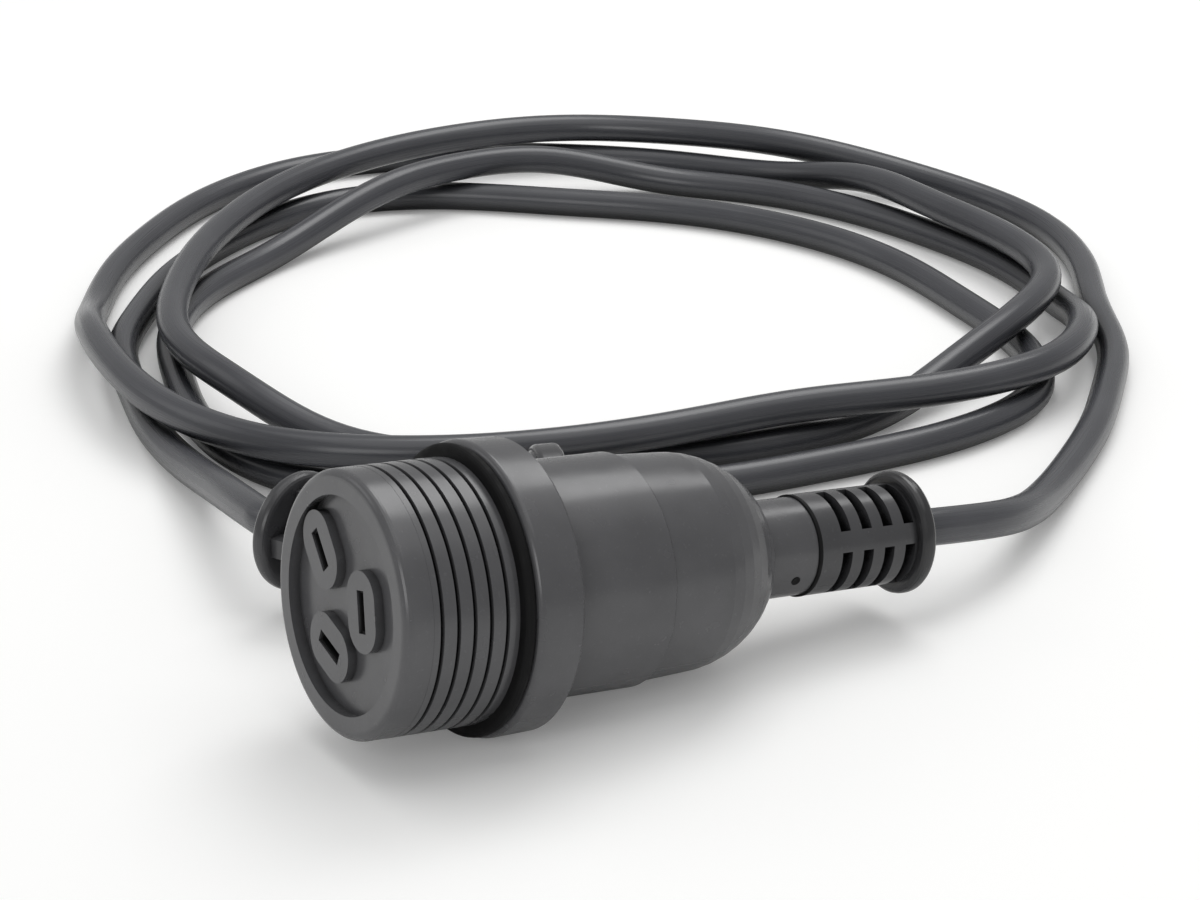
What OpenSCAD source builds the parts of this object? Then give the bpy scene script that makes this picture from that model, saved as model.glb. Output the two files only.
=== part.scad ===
// Weatherproof mains cord: a screw-collar socket with three flat slots on one end of a
// loosely laid cord, and a moulded three-pin plug on the other end. Millimetres, +Z up.
// The floor is z = 0, and the origin is under the middle of the socket.

/* [Cord] */
// Outer diameter of the sheathed cord
cord_d = 6.8; // [6.4:0.1:7]
// Diameter of one insulated core
core_d = 2.2; // [1.8:0.1:2.4]
// Free height between the cord and the turn that it climbs over
climb_gap = 0.6; // [0.5:0.1:1.5]

/* [Flat pins and slots] */
// Width of a flat pin
pin_w = 6.35; // [6:0.05:6.6]
// Thickness of a flat pin
pin_t = 1.6; // [1.4:0.05:1.8]
// Length of the line pins beyond the plug's face
line_pin_l = 17.1; // [15:0.1:18]
// Length of the earth pin beyond the plug's face
earth_pin_l = 20; // [19:0.1:22]
// Distance of each line slot from the pattern's centre
line_offset = 7.92; // [7.6:0.01:8.2]
// Distance of the earth slot from the pattern's centre
earth_offset = 10.31; // [10:0.01:10.5]
// Distance that the pattern sits towards the earth slot from the face's centre
pattern_shift = 0.3; // [0:0.1:0.4]
// Distance that the pattern sits across from the face's centre
pattern_across = 1.4; // [0:0.1:1.6]
// Turn of the pattern on the socket's face
pattern_turn = 45; // [0:5:90]
// Clearance all round a pin in its slot
slot_clear = 0.3; // [0.2:0.05:0.5]

/* [Socket nose] */
// Diameter of the nose
nose_d = 44; // [43.5:0.1:45]
// Distance from the flange's rear edge to the nose's front face
nose_front = 31.5; // [30:0.5:36]
// Radius of the nose's front edge
rim_round = 1.5; // [1:0.1:1.8]
// Diameter of the recess in the nose's face
recess_d = 35.8; // [35.6:0.1:37]
// Depth of the recess in the nose's face
recess_depth = 2; // [1:0.1:3]
// Thickness of the wall behind the recess
face_t = 3; // [2:0.1:4]
// Wall of the nose inside the grooves
nose_wall = 2.4; // [2:0.1:3]
// Length of the raised islands round the slots
island_l = 13.4; // [12:0.1:13.8]
// Width of the raised islands round the slots
island_w = 9.2; // [8:0.1:9.4]
// Height of the raised islands
island_h = 1.6; // [0.5:0.1:1.9]

/* [Coupling thread] */
// Number of thread grooves
groove_n = 5; // [3:1:5]
// Pitch of the thread grooves
groove_pitch = 2.95; // [2.8:0.05:3.1]
// Depth of the thread grooves
groove_depth = 1.5; // [0.8:0.1:1.8]
// Width of a groove at its mouth
groove_w = 1.3; // [1:0.1:1.6]

/* [Sealing washer] */
// Outer diameter of the sealing washer
washer_d = 48.4; // [47:0.2:50]
// Thickness of the sealing washer
washer_t = 2.1; // [1.8:0.1:2.6]

/* [Front shell] */
// Diameter of the flange at its front edge
flange_d = 49.2; // [49:0.1:51]
// Diameter of the flange at its rear edge
flange_rear_d = 48; // [47:0.2:48.6]
// Width of the flange along the socket
flange_w = 8.9; // [8.5:0.1:9.5]
// Radius of the flange's front edge
flange_round = 1.2; // [0.6:0.1:1.6]
// Diameter of the body behind the flange
body_d = 39.8; // [39.6:0.1:42]
// Length of the body behind the flange
body_l = 20.2; // [19:0.1:22]
// Wall of the front shell
shell_wall = 2.2; // [1.8:0.1:2.6]

/* [Rear shell] */
// Diameter of the rear shell at the seam
rear_d = 38.6; // [38:0.1:39]
// Diameter of the rear shell where its dome starts
rear_end_d = 37.6; // [37:0.1:38]
// Distance from the flange's rear edge to the start of the dome
dome_start = 30; // [29:0.5:31]
// Distance from the flange's rear edge to the end of the dome
dome_end = 47.2; // [46.6:0.1:48]
// Diameter of the neck
neck_d = 17.2; // [16:0.2:18]
// Distance from the flange's rear edge to the end of the neck
neck_end = 56.8; // [56:0.1:58]
// Diameter of the bore through the neck
neck_bore = 12.4; // [12:0.1:13]

/* [Strain relief] */
// Length of the strain relief outside the neck
relief_l = 23.8; // [23.5:0.1:28]
// Diameter of the slotted cage
cage_d = 17.8; // [17.6:0.2:19]
// Diameter of the tube inside the cage
relief_tube_d = 11; // [10:0.1:12]
// Number of slots along the cage
slot_rows = 4; // [2:1:4]
// Pitch of the slots along the cage
slot_pitch = 4.5; // [4:0.1:4.6]
// Width of the slots along the cage
slot_w = 2.1; // [1.5:0.1:2.4]
// Angle that the webs between the slots take up
web_angle = 24; // [16:2:32]
// Diameter of the strain relief's end flange
relief_flange_d = 21.8; // [20:0.2:24]
// Thickness of the strain relief's end flange
relief_flange_t = 3; // [2:0.1:4]

/* [Plug] */
// Diameter of the plug's front disc
plug_d = 30; // [29:0.5:31]
// Thickness of the plug's front disc
plug_disc_t = 5; // [4:0.5:6]
// Diameter of the plug's grip
grip_d = 25; // [24:0.2:26]
// Length of the plug from its face to the strain relief
plug_l = 27; // [27:0.5:32]
// Length of the sleeves on the line pins
sleeve_l = 9; // [8:0.5:10]
// Bend of the plug's strain relief
plug_bend = 50; // [30:1:52]

/* [Lay] */
// Slope of the socket down towards its cord
socket_tilt = 6; // [4:0.5:7]
// Direction of the plug's cord end
plug_yaw = 159; // [158:1:161]
// Slope of the plug down towards its cord
plug_tilt = 1; // [0:0.5:2]

/* [Hidden] */

fine = 96;
plain = 40;
fit = 0.1;
loose = 0.2;

moulded = [0.36, 0.36, 0.37];
sheath_colour = [0.29, 0.29, 0.31];
black_rubber = [0.1, 0.1, 0.1];
brass = [0.78, 0.62, 0.3];
steel = [0.7, 0.7, 0.72];
nylon = [0.85, 0.84, 0.8];
core_brown = [0.4, 0.2, 0.1];
core_blue = [0.1, 0.3, 0.7];
core_green = [0.3, 0.6, 0.2];

// Radii and stations along the socket. Station 0 is the flange's rear edge, and the
// cord's end is positive.
cord_r = cord_d / 2;
nose_r = nose_d / 2;
groove_r = nose_r - groove_depth;
cavity_r = groove_r - nose_wall;
recess_floor = -nose_front + recess_depth;
cavity_front = recess_floor + face_t;
washer_rear = -flange_w;
washer_front = washer_rear - washer_t;
washer_gap = 0.05;
spigot_r = groove_r - 0.6;
spigot_end = -2.2;
body_r = body_d / 2;
body_bore_r = body_r - shell_wall;
lap_l = 8;
rear_wall = 2;
rear_bore_r = body_bore_r - fit - rear_wall;
relief_end = neck_end + relief_l;
neck_r = neck_d / 2;
neck_bore_r = neck_bore / 2;
stub_l = 4.5;
sheath_start = 27;
collar_l = 2.6;
first_slot = 5.65;
web_turn = 70;
dish = 1;
seal_flange_r = 9.6;
carrier_end = -8;
rim_bore_r = cavity_r - 1.7;
leaf_t = 0.6;
block_end = 6;
block_t = 6;
screw_station = 1;
terminal_r = 1.25;
clamp_front = 31.6;
clamp_l = 6;
clamp_w = 25.6;
clamp_t = 5.4;
clamp_screw_y = 7.5;
clamp_screw_r = 1.45;
core_lay = 1.5;

// Radii and stations along the plug. Station 0 is its face.
grip_r = grip_d / 2;
plug_wall = 3;
bridge_r = 10.3;
bridge_end = 9;
barrel_end = 13.5;
plug_sheath_start = 22;
plug_turn = -90;
sleeve_wall = 0.4;

// The pins' pattern: angle round the face, distance out, and turn of each slot.
line_angle = 120;
earth_slot = [0, earth_offset, 0];
active_slot = [line_angle, line_offset, 90];
neutral_slot = [-line_angle, line_offset, 90];
all_slots = [earth_slot, active_slot, neutral_slot];
pattern_place = [pattern_across, pattern_shift];

// The earth pin stands further out than its terminal, so it narrows behind the plug's face.
earth_terminal = [0, 8, 0];
earth_stem_w = 3.4;
earth_heel = 0.9;

// The flange's rounded front edge touches the floor, which sets the axis height.
flange_r = flange_d / 2;
socket_h = (flange_r - flange_round) * cos(socket_tilt) + flange_round
    - (flange_w - flange_round) * sin(socket_tilt);
relief_edge = 1.2;
socket_low_x = -(nose_front - rim_round) * cos(socket_tilt)
    - (nose_r - rim_round) * sin(socket_tilt) - rim_round;
socket_high_x = (relief_end - relief_edge) * cos(socket_tilt)
    + (relief_flange_d / 2 - relief_edge) * sin(socket_tilt) + relief_edge;
socket_x = -(socket_low_x + socket_high_x) / 2;
socket_exit = [socket_x + relief_end * cos(socket_tilt), 0,
    socket_h - relief_end * sin(socket_tilt)];

// The plug lies on its front disc's rear edge, with its face over plug_place.
plug_place = [6.9, 33.5];
plug_r = plug_d / 2;
plug_edge = 1;
plug_h = (plug_r - plug_edge) * cos(plug_tilt) + plug_edge
    + (plug_disc_t - plug_edge) * sin(plug_tilt);
bend_l = relief_l - collar_l - relief_flange_t;
bend_r = bend_l / (plug_bend * PI / 180);
plug_exit_local = [
    plug_l + collar_l + bend_r * sin(plug_bend) + relief_flange_t * cos(plug_bend),
    -bend_r * (1 - cos(plug_bend)) - relief_flange_t * sin(plug_bend)];
function from_plug(v) = [
    v[0] * cos(plug_tilt) * cos(plug_yaw) - v[1] * sin(plug_yaw),
    v[0] * cos(plug_tilt) * sin(plug_yaw) + v[1] * cos(plug_yaw),
    -v[0] * sin(plug_tilt)];
plug_exit = [plug_place[0], plug_place[1], plug_h] + from_plug(plug_exit_local);
plug_axis = from_plug([cos(plug_bend), -sin(plug_bend)]);

// ---- The cord's route -------------------------------------------------------------

// The coil turns counter-clockwise round one centre. Its radius is chosen by hand every
// 30 degrees, from coil_start on, and humps carry it over the turns that it crosses.
coil_centre = [84.2, 165.2];
coil_start = -45;
coil_end = 1245;
row_step = 30;
first_row = -60;
coil_radii = [128, 119.5,
    131.5, 119, 119.5, 103, 87, 83, 90, 93, 91.5, 93.5,
    95, 109, 103, 113, 119, 126, 110, 102.5, 106.5, 115, 101.5, 94,
    116, 112, 103, 101.5, 97, 80, 76.5, 83, 91.5, 112, 110, 108,
    113.5, 90.5, 82, 78.5, 80, 96, 92, 92, 103];
rings_per_loop = 24;
coil_step = 360 / rings_per_loop;
coil_sides = 6;
lead_sides = 8;
// Start and end angle of each stretch that lies on top of other turns.
humps = [[28, 190], [312, 371], [532, 667], [787, 812]];
ramp = 24;
low = cord_r;
high = cord_r + cord_d + climb_gap;

// The free stretches, as points on the cord's centre line.
socket_lead_points = [[76, 0.9, 12.6], [87.4, 6.4, 9.2], [99.8, 15.4, 5.9], [114.3, 26.2, 4],
    [129.2, 37.7, 3.5], [143.2, 49.2, 3.4], [156.7, 63.2, 3.4]];
plug_lead_points = [[-16.8, 168.2, 3.4], [-23.1, 147.2, 3.4], [-26.1, 128.2, 3.8],
    [-28.8, 110.2, 6.2], [-31.9, 93.2, 9.6], [-34.7, 78.4, 12.4]];
straight_l = cord_d;

function ease(t) = t <= 0 ? 0 : t >= 1 ? 1 : t * t * (3 - 2 * t);
function lift(a) = max([for (h = humps)
    min(ease((a - h[0] + ramp) / ramp), ease((h[1] + ramp - a) / ramp))]);
function row(i) = coil_radii[max(0, min(len(coil_radii) - 1, i))];
function spline(a, b, c, d, t) = b + t / 2 * (c - a
    + t * (2 * a - 5 * b + 4 * c - d + t * (3 * (b - c) + d - a)));
function coil_radius(a) =
    let (u = (a - first_row) / row_step, i = floor(u))
    spline(row(i - 1), row(i), row(i + 1), row(i + 2), u - i);
function coil_point(a) = [coil_centre[0] + coil_radius(a) * cos(a),
    coil_centre[1] + coil_radius(a) * sin(a), low + (high - low) * lift(a)];

coil_points = [for (a = [coil_start:coil_step:coil_end]) coil_point(a)];
socket_axis = [cos(socket_tilt), 0, -sin(socket_tilt)];
lead_in = concat([socket_exit, socket_exit + straight_l * socket_axis],
    socket_lead_points, [coil_points[0]]);
lead_out = concat([coil_points[len(coil_points) - 1]], plug_lead_points,
    [plug_exit + straight_l * plug_axis, plug_exit]);

function unit(v) = v / norm(v);
function along(p, i, before, after) =
    unit((i + 1 < len(p) ? p[i + 1] : after) - (i > 0 ? p[i - 1] : before));
function ring(c, dir, r, sides) =
    let (side = unit(cross(dir, [0, 0, 1])), up = cross(side, dir))
    [for (k = [0:sides - 1]) c + r * (sin(360 * k / sides) * side
        - cos(360 * k / sides) * up)];
function flat_list(lists) = [for (l = lists, x = l) x];

// A closed tube of triangles along p. The points before and after p set its end planes.
module tube(p, r, sides, before, after) {
    n = len(p);
    body = flat_list([for (i = [0:n - 1]) ring(p[i], along(p, i, before, after), r, sides)]);
    walls = [for (i = [0:n - 2], k = [0:sides - 1], half = [0, 1])
        let (a = i * sides + k, b = i * sides + (k + 1) % sides)
        half == 0 ? [a, a + sides, b] : [b, a + sides, b + sides]];
    start = [for (k = [1:sides - 2]) [0, k, k + 1]];
    last = (n - 1) * sides;
    end = [for (k = [1:sides - 2]) [last, last + k + 1, last + k]];
    polyhedron(points = body, faces = concat(walls, start, end), convexity = 10);
}

socket_beyond = coil_points[1];
plug_beyond = coil_points[len(coil_points) - 2];
before_socket = socket_exit - straight_l * socket_axis;
after_plug = plug_exit - straight_l * plug_axis;
coil_before = lead_in[len(lead_in) - 2];
coil_after = lead_out[1];

// Least gap between stretches of cord that lie at least half a loop apart, measured from
// four points on each straight piece to every other piece.
route = concat(lead_in, [for (i = [1:len(coil_points) - 1]) coil_points[i]],
    [for (i = [1:len(lead_out) - 1]) lead_out[i]]);
half_loop = rings_per_loop / 2;
marks = 4;
function to_piece(p, a, b) =
    let (t = max(0, min(1, (p - a) * (b - a) / ((b - a) * (b - a))))) norm(a + t * (b - a) - p);
least_gap = min([for (i = [0:len(route) - 2], m = [0:marks - 1])
    let (p = route[i] + (route[i + 1] - route[i]) * m / marks)
    for (j = [i + half_loop:1:len(route) - 2]) to_piece(p, route[j], route[j + 1])]) - cord_d;
function sum_of(v, i = 0) = i >= len(v) ? 0 : v[i] + sum_of(v, i + 1);
cord_length = sum_of([for (i = [1:len(route) - 1]) norm(route[i] - route[i - 1])]);
echo(least_gap_mm = least_gap, cord_length_mm = cord_length);

// ---- Shared shapes ----------------------------------------------------------------

// A solid of revolution about the socket's axis, from [radius, station] points.
module turned(profile) {
    rotate([0, 90, 0])
        rotate_extrude($fn = fine)
            polygon(profile);
}

// A rod from station a to station b.
module rod(r, a, b) {
    translate([a, 0, 0])
        rotate([0, 90, 0])
            cylinder(r = r, h = b - a, $fn = plain);
}

function arc(r, s, radius, from, to, n = 6) = [for (i = [0:n])
    let (a = from + (to - from) * i / n) [r + radius * cos(a), s + radius * sin(a)]];

module at_socket() {
    translate([socket_x, 0, socket_h])
        rotate([0, socket_tilt, 0])
            children();
}

module at_plug() {
    translate([plug_place[0], plug_place[1], plug_h])
        rotate([0, plug_tilt, plug_yaw])
            children();
}

// Places a child drawn along X, with its width along Y, at one slot of a pattern that is
// turned and shifted on its face.
module at_slot(slot, turn, shift) {
    rotate([-turn, 0, 0])
        translate([0, shift[0], shift[1]])
            rotate([slot[0], 0, 0])
                translate([0, 0, slot[1]])
                    rotate([slot[2] + 90, 0, 0])
                        children();
}

module at_contact(slot) {
    at_slot(slot, pattern_turn, pattern_place)
        children();
}

// The plug's pins mirror the socket's slots, with the earth pin away from the socket.
module at_pin(slot) {
    at_slot([-slot[0], slot[1], slot[2]], plug_turn, [0, 0])
        children();
}

// The middle of a slot or pin, at station s.
function slot_place(slot, turn, shift, s) =
    let (y = shift[0] - slot[1] * sin(slot[0]), z = slot[1] * cos(slot[0]) + shift[1])
    [s, y * cos(turn) + z * sin(turn), z * cos(turn) - y * sin(turn)];

// A bar of rectangular section from station a to station b.
module bar(a, b, w, t) {
    translate([a, -w / 2, -t / 2])
        cube([b - a, w, t]);
}

// A blade with a bevelled tip at station a.
module blade(a, b, w, t) {
    translate([0, 0, -t / 2])
        linear_extrude(t)
            polygon([[b, -w / 2], [b, w / 2], [a + 1, w / 2], [a, w / 2 - 1], [a, 1 - w / 2],
                [a + 1, -w / 2]]);
}

// A slotted screw on -Z, with the underside of its head at height h and its point at tip.
module screw(r, head_r, h, tip) {
    head_l = 1.6;
    translate([0, 0, -h])
        cylinder(r = r, h = h - tip, $fn = plain);
    difference() {
        translate([0, 0, -h - head_l])
            cylinder(r = head_r, h = head_l, $fn = plain);
        translate([-0.3, -head_r - 1, -h - head_l - 1])
            cube([0.6, 2 * head_r + 2, 1.8]);
    }
}

// One insulated core from a terminal at place to its seat beside the axis.
module core(slot, turn, shift, from, straight, to) {
    lay = [for (s = [from, straight]) slot_place(slot, turn, shift, s)];
    seat = [for (s = [to - 2, to]) slot_place([slot[0], core_lay, 0], turn, [0, 0], s)];
    middle = (lay[1] + seat[0]) / 2;
    p = concat(lay, [middle], seat);
    tube(p, core_d / 2, lead_sides, p[0] - [1, 0, 0], seat[1] + [1, 0, 0]);
}

// ---- Socket -----------------------------------------------------------------------

// An island with round ends, its length along Y, from station a to station b.
module island(a, b) {
    half = (island_l - island_w) / 2;
    for (y = [-half, half])
        translate([0, y, 0])
            rod(island_w / 2, a, b);
    bar(a, b, 2 * half, island_w);
}

module aperture(a, b) {
    bar(a, b, pin_w + 2 * slot_clear, pin_t + 2 * slot_clear);
}

// The thread is cut as level grooves with rounded ridges between them.
function groove(s) = [[nose_r, s - groove_w], [nose_r - 0.3 * groove_depth, s - 0.55 * groove_w],
    [groove_r, s - 0.25 * groove_w], [groove_r, s + 0.25 * groove_w],
    [nose_r - 0.3 * groove_depth, s + 0.55 * groove_w], [nose_r, s + groove_w]];
first_groove = washer_front - 2.2 - (groove_n - 1) * groove_pitch;

module socket_front() {
    color(moulded)
        at_socket() {
            difference() {
                turned(concat(
                    [[0, recess_floor], [recess_d / 2, recess_floor], [recess_d / 2, -nose_front]],
                    arc(nose_r - rim_round, rim_round - nose_front, rim_round, -90, 0),
                    [for (i = [0:groove_n - 1], p = groove(first_groove + i * groove_pitch)) p],
                    [[nose_r, washer_front], [spigot_r, washer_front], [spigot_r, spigot_end],
                        [cavity_r, spigot_end], [cavity_r, cavity_front], [0, cavity_front]]));
                for (slot = all_slots)
                    at_contact(slot)
                        aperture(recess_floor - 1, cavity_front + 1);
            }
            for (slot = all_slots)
                at_contact(slot)
                    difference() {
                        island(recess_floor - island_h, recess_floor + 0.5);
                        aperture(recess_floor - island_h - 1, recess_floor + 1);
                    }
        }
}

module contact_carrier() {
    color(nylon)
        at_socket()
            difference() {
                turned([[0, cavity_front + fit], [cavity_r - fit, cavity_front + fit],
                    [cavity_r - fit, spigot_end - loose], [rim_bore_r, spigot_end - loose],
                    [rim_bore_r, carrier_end], [0, carrier_end]]);
                for (slot = all_slots)
                    at_contact(slot)
                        bar(cavity_front - 1, carrier_end + 1, pin_w + 4 * fit,
                            pin_t + 2 * leaf_t + 4 * fit);
            }
}

// Two sprung leaves that take the pin, and a terminal block with a screw behind them.
module contact(slot) {
    color(brass)
        at_socket()
            at_contact(slot) {
                for (side = [-1, 1])
                    translate([0, 0, side * (pin_t + leaf_t + fit) / 2])
                        bar(cavity_front + 0.6, carrier_end + fit, pin_w, leaf_t);
                bar(carrier_end - 2, carrier_end + fit, pin_w, pin_t + 2 * leaf_t + fit);
                difference() {
                    bar(carrier_end + fit, block_end, pin_w + 0.6, block_t);
                    rod(core_d / 2 + fit, block_end - 8, block_end + 1);
                    translate([screw_station, 0, -block_t])
                        cylinder(r = terminal_r + fit, h = block_t, $fn = plain);
                }
            }
}

module contact_active() {
    contact(active_slot);
}

module contact_neutral() {
    contact(neutral_slot);
}

module contact_earth() {
    contact(earth_slot);
}

module terminal_screws() {
    color(steel)
        at_socket()
            for (slot = all_slots)
                at_contact(slot)
                    translate([screw_station, 0, 0])
                        screw(terminal_r, 2.2, block_t / 2, core_d / 2);
}

module sealing_washer() {
    half = washer_t / 2 - washer_gap;
    color(black_rubber)
        at_socket()
            turned(concat([[spigot_r + washer_gap, washer_front + washer_gap]],
                arc(washer_d / 2 - half, washer_front + washer_t / 2, half, -90, 90, 8),
                [[spigot_r + washer_gap, washer_rear - washer_gap]]));
}

module front_shell() {
    color(moulded)
        at_socket()
            turned(concat([[spigot_r + fit, washer_rear]],
                arc(flange_r - flange_round, washer_rear + flange_round, flange_round, -90, 0),
                [[flange_rear_d / 2 + 0.4, -0.8], [flange_rear_d / 2 - 0.4, 0], [body_r, 0],
                    [body_r, body_l - 0.4], [body_r - 0.4, body_l], [body_bore_r, body_l],
                    [body_bore_r, spigot_end + fit], [spigot_r + fit, spigot_end + fit]]));
}

// A dome is part of an ellipse about the axis in section, outside and inside. It starts
// level and is cut off where its radius has come down to r_to.
function dome(r_from, r_to, s_from, s_to, n) =
    let (end = acos(r_to / r_from))
    [for (i = [0:n]) let (a = end * i / n)
        [r_from * cos(a), s_from + (s_to - s_from) * sin(a) / sin(end)]];
function backwards(v) = [for (i = [len(v) - 1:-1:0]) v[i]];

module rear_shell() {
    color(moulded)
        at_socket()
            turned(concat(
                [[rear_bore_r, body_l - lap_l], [body_bore_r - fit, body_l - lap_l],
                    [body_bore_r - fit, body_l + fit], [rear_d / 2, body_l + fit]],
                dome(rear_end_d / 2, neck_r, dome_start, dome_end, 9),
                [[neck_r, neck_end - 0.3], [neck_r - 0.3, neck_end], [neck_bore_r, neck_end],
                    [neck_bore_r, dome_end - rear_wall]],
                backwards(dome(rear_bore_r, seal_flange_r + fit, dome_start, dome_end - rear_wall, 6))));
}

module gland_seal() {
    seat = dome_end - rear_wall - fit;
    color(black_rubber)
        at_socket()
            turned([[cord_r + fit, seat - 2], [seal_flange_r, seat - 2], [seal_flange_r, seat],
                [neck_bore_r - fit, seat], [neck_bore_r - fit, neck_end - stub_l - fit],
                [cord_r + fit, neck_end - stub_l - fit]]);
}

// Two bars with a groove for the cord between them. Their rear edges rest in the dome.
module cord_clamp() {
    color(nylon)
        at_socket()
            difference() {
                for (side = [-1, 1])
                    translate([0, 0, side * (clamp_t + fit) / 2])
                        bar(clamp_front, clamp_front + clamp_l, clamp_w, clamp_t);
                rod(cord_r, clamp_front - 1, clamp_front + clamp_l + 1);
                for (y = [-clamp_screw_y, clamp_screw_y])
                    translate([clamp_front + clamp_l / 2, y, -10])
                        cylinder(r = clamp_screw_r + fit, h = 20, $fn = plain);
            }
}

module clamp_screws() {
    color(steel)
        at_socket()
            for (y = [-clamp_screw_y, clamp_screw_y])
                translate([clamp_front + clamp_l / 2, y, 0])
                    screw(clamp_screw_r, 2.5, clamp_t + fit / 2, -clamp_t);
}

module socket_core(slot) {
    at_socket()
        core(slot, pattern_turn, pattern_place, block_end - 6, block_end + 2, sheath_start);
}

module socket_core_active() {
    color(core_brown)
        socket_core(active_slot);
}

module socket_core_neutral() {
    color(core_blue)
        socket_core(neutral_slot);
}

module socket_core_earth() {
    color(core_green)
        socket_core(earth_slot);
}

module socket_sheath() {
    color(sheath_colour)
        at_socket()
            rod(cord_r, sheath_start, relief_end);
}

// A disc with rounded edges and a dished rear face, from station s.
module relief_flange(s) {
    r = relief_flange_d / 2;
    e = relief_edge;
    turned(concat([[cord_r + fit, s], [r - e, s]], arc(r - e, s + e, e, -90, 0, 4),
        arc(r - e, s + relief_flange_t - e, e, 0, 90, 4),
        [[r - e - 0.6, s + relief_flange_t], [cord_r + 1.2, s + relief_flange_t - dish],
            [cord_r + 1.2, s + relief_flange_t], [cord_r + fit, s + relief_flange_t]]));
}

module strain_relief() {
    windows = 4;
    turn = 360 / windows;
    color(moulded)
        at_socket() {
            difference() {
                turned([[cord_r + fit, neck_end - stub_l], [neck_bore_r - fit, neck_end - stub_l],
                    [neck_bore_r - fit, neck_end + fit], [cage_d / 2 - 0.3, neck_end + fit],
                    [cage_d / 2, neck_end + 0.4], [cage_d / 2, relief_end - relief_flange_t],
                    [cord_r + fit, relief_end - relief_flange_t]]);
                for (i = [0:slot_rows - 1], k = [0:windows - 1])
                    translate([neck_end + first_slot + i * slot_pitch - slot_w / 2, 0, 0])
                        rotate([0, 90, 0])
                            rotate([0, 0, k * turn + web_angle / 2 + web_turn])
                                rotate_extrude(angle = turn - web_angle, $fn = plain)
                                    translate([relief_tube_d / 2, 0])
                                        square([cage_d / 2, slot_w]);
            }
            relief_flange(relief_end - relief_flange_t);
        }
}

// ---- Plug -------------------------------------------------------------------------

module plug_body() {
    e = plug_edge;
    color(moulded)
        at_plug()
            difference() {
                turned(concat([[0, 0]], arc(plug_r - e, e, e, -90, 0, 4),
                    arc(plug_r - e, plug_disc_t - e, e, 0, 90, 4),
                    [[grip_r + 0.8, plug_disc_t + 0.6], [grip_r, plug_disc_t + 2],
                        [grip_r - 0.5, plug_disc_t + 5], [grip_r, plug_disc_t + 9]],
                    dome(grip_r, neck_r, plug_l - 11, plug_l - 4, 6),
                    [[neck_r, plug_l], [neck_bore_r, plug_l], [neck_bore_r, plug_l - 6]],
                    backwards(dome(bridge_r + fit, neck_bore_r, plug_l - 12, plug_l - 6, 5)),
                    [[bridge_r + fit, plug_wall], [0, plug_wall]]));
                for (slot = all_slots)
                    at_pin(slot)
                        bar(-1, plug_wall + 1, pin_w + 2 * fit, pin_t + 2 * fit);
            }
}

module pin_bridge() {
    color(nylon)
        at_plug()
            difference() {
                rod(bridge_r, plug_wall + fit, bridge_end);
                for (slot = [active_slot, neutral_slot])
                    at_pin(slot)
                        bar(plug_wall, bridge_end + 1, pin_w + 2 * fit, pin_t + 2 * fit);
                at_pin(earth_slot)
                    bar(plug_wall, plug_wall + earth_heel + fit, pin_w + 2 * fit, pin_t + 2 * fit);
                at_pin(earth_terminal)
                    bar(plug_wall, bridge_end + 1, earth_stem_w + 2 * fit, pin_t + 2 * fit);
            }
}

// A blade that ends in a barrel for its core behind the bridge.
module barrel() {
    difference() {
        rod(2, bridge_end + fit, barrel_end);
        rod(core_d / 2 + fit, bridge_end + 1, barrel_end + 1);
    }
}

module line_pin(slot) {
    color(brass)
        at_plug()
            at_pin(slot) {
                blade(-line_pin_l, -sleeve_l, pin_w, pin_t);
                bar(-sleeve_l, 0, pin_w - 2 * sleeve_wall, pin_t - 2 * sleeve_wall);
                bar(0, bridge_end + fit, pin_w, pin_t);
                barrel();
            }
}

module pin_active() {
    line_pin(active_slot);
}

module pin_neutral() {
    line_pin(neutral_slot);
}

module pin_earth() {
    color(brass)
        at_plug()
            union() {
                at_pin(earth_slot)
                    blade(-earth_pin_l, plug_wall + earth_heel, pin_w, pin_t);
                at_pin(earth_terminal) {
                    bar(plug_wall + fit, bridge_end + fit, earth_stem_w, pin_t);
                    barrel();
                }
            }
}

module pin_sleeves() {
    color(black_rubber)
        at_plug()
            for (slot = [active_slot, neutral_slot])
                at_pin(slot)
                    difference() {
                        bar(0.05 - sleeve_l, -0.05, pin_w, pin_t);
                        bar(-sleeve_l - 1, 1, pin_w - 2 * sleeve_wall + fit,
                            pin_t - 2 * sleeve_wall + fit);
                    }
}

module plug_core(slot) {
    at_plug()
        core([-slot[0], slot[1], slot[2]], plug_turn, [0, 0], bridge_end + 1.2, barrel_end,
            plug_sheath_start);
}

module plug_core_active() {
    color(core_brown)
        plug_core(active_slot);
}

module plug_core_neutral() {
    color(core_blue)
        plug_core(neutral_slot);
}

module plug_core_earth() {
    color(core_green)
        plug_core(earth_terminal);
}

// Turns a child, drawn round the axis at station 0, by an angle along the bend.
module on_bend(angle) {
    translate([plug_l + collar_l, -bend_r, 0])
        rotate([0, 0, -angle])
            translate([0, bend_r, 0])
                children();
}

// A stretch of the bend, with a flat shape drawn round the axis as its section.
module bent(from, turn) {
    translate([plug_l + collar_l, -bend_r, 0])
        rotate([0, 0, 90 - from - turn])
            rotate_extrude(angle = turn, $fn = fine)
                translate([bend_r, 0])
                    children();
}

module plug_sheath() {
    bend_start = plug_l + collar_l;
    steps = 6;
    arc_points = [for (i = [0:steps])
        let (a = plug_bend * i / steps)
        [bend_start + bend_r * sin(a), -bend_r * (1 - cos(a)), 0]];
    way_out = [cos(plug_bend), -sin(plug_bend), 0];
    end = arc_points[steps] + relief_flange_t * way_out;
    start = [plug_sheath_start, 0, 0];
    color(sheath_colour)
        at_plug()
            tube(concat([start], arc_points, [end]), cord_r, lead_sides, start - [1, 0, 0],
                end + way_out);
}

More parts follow.
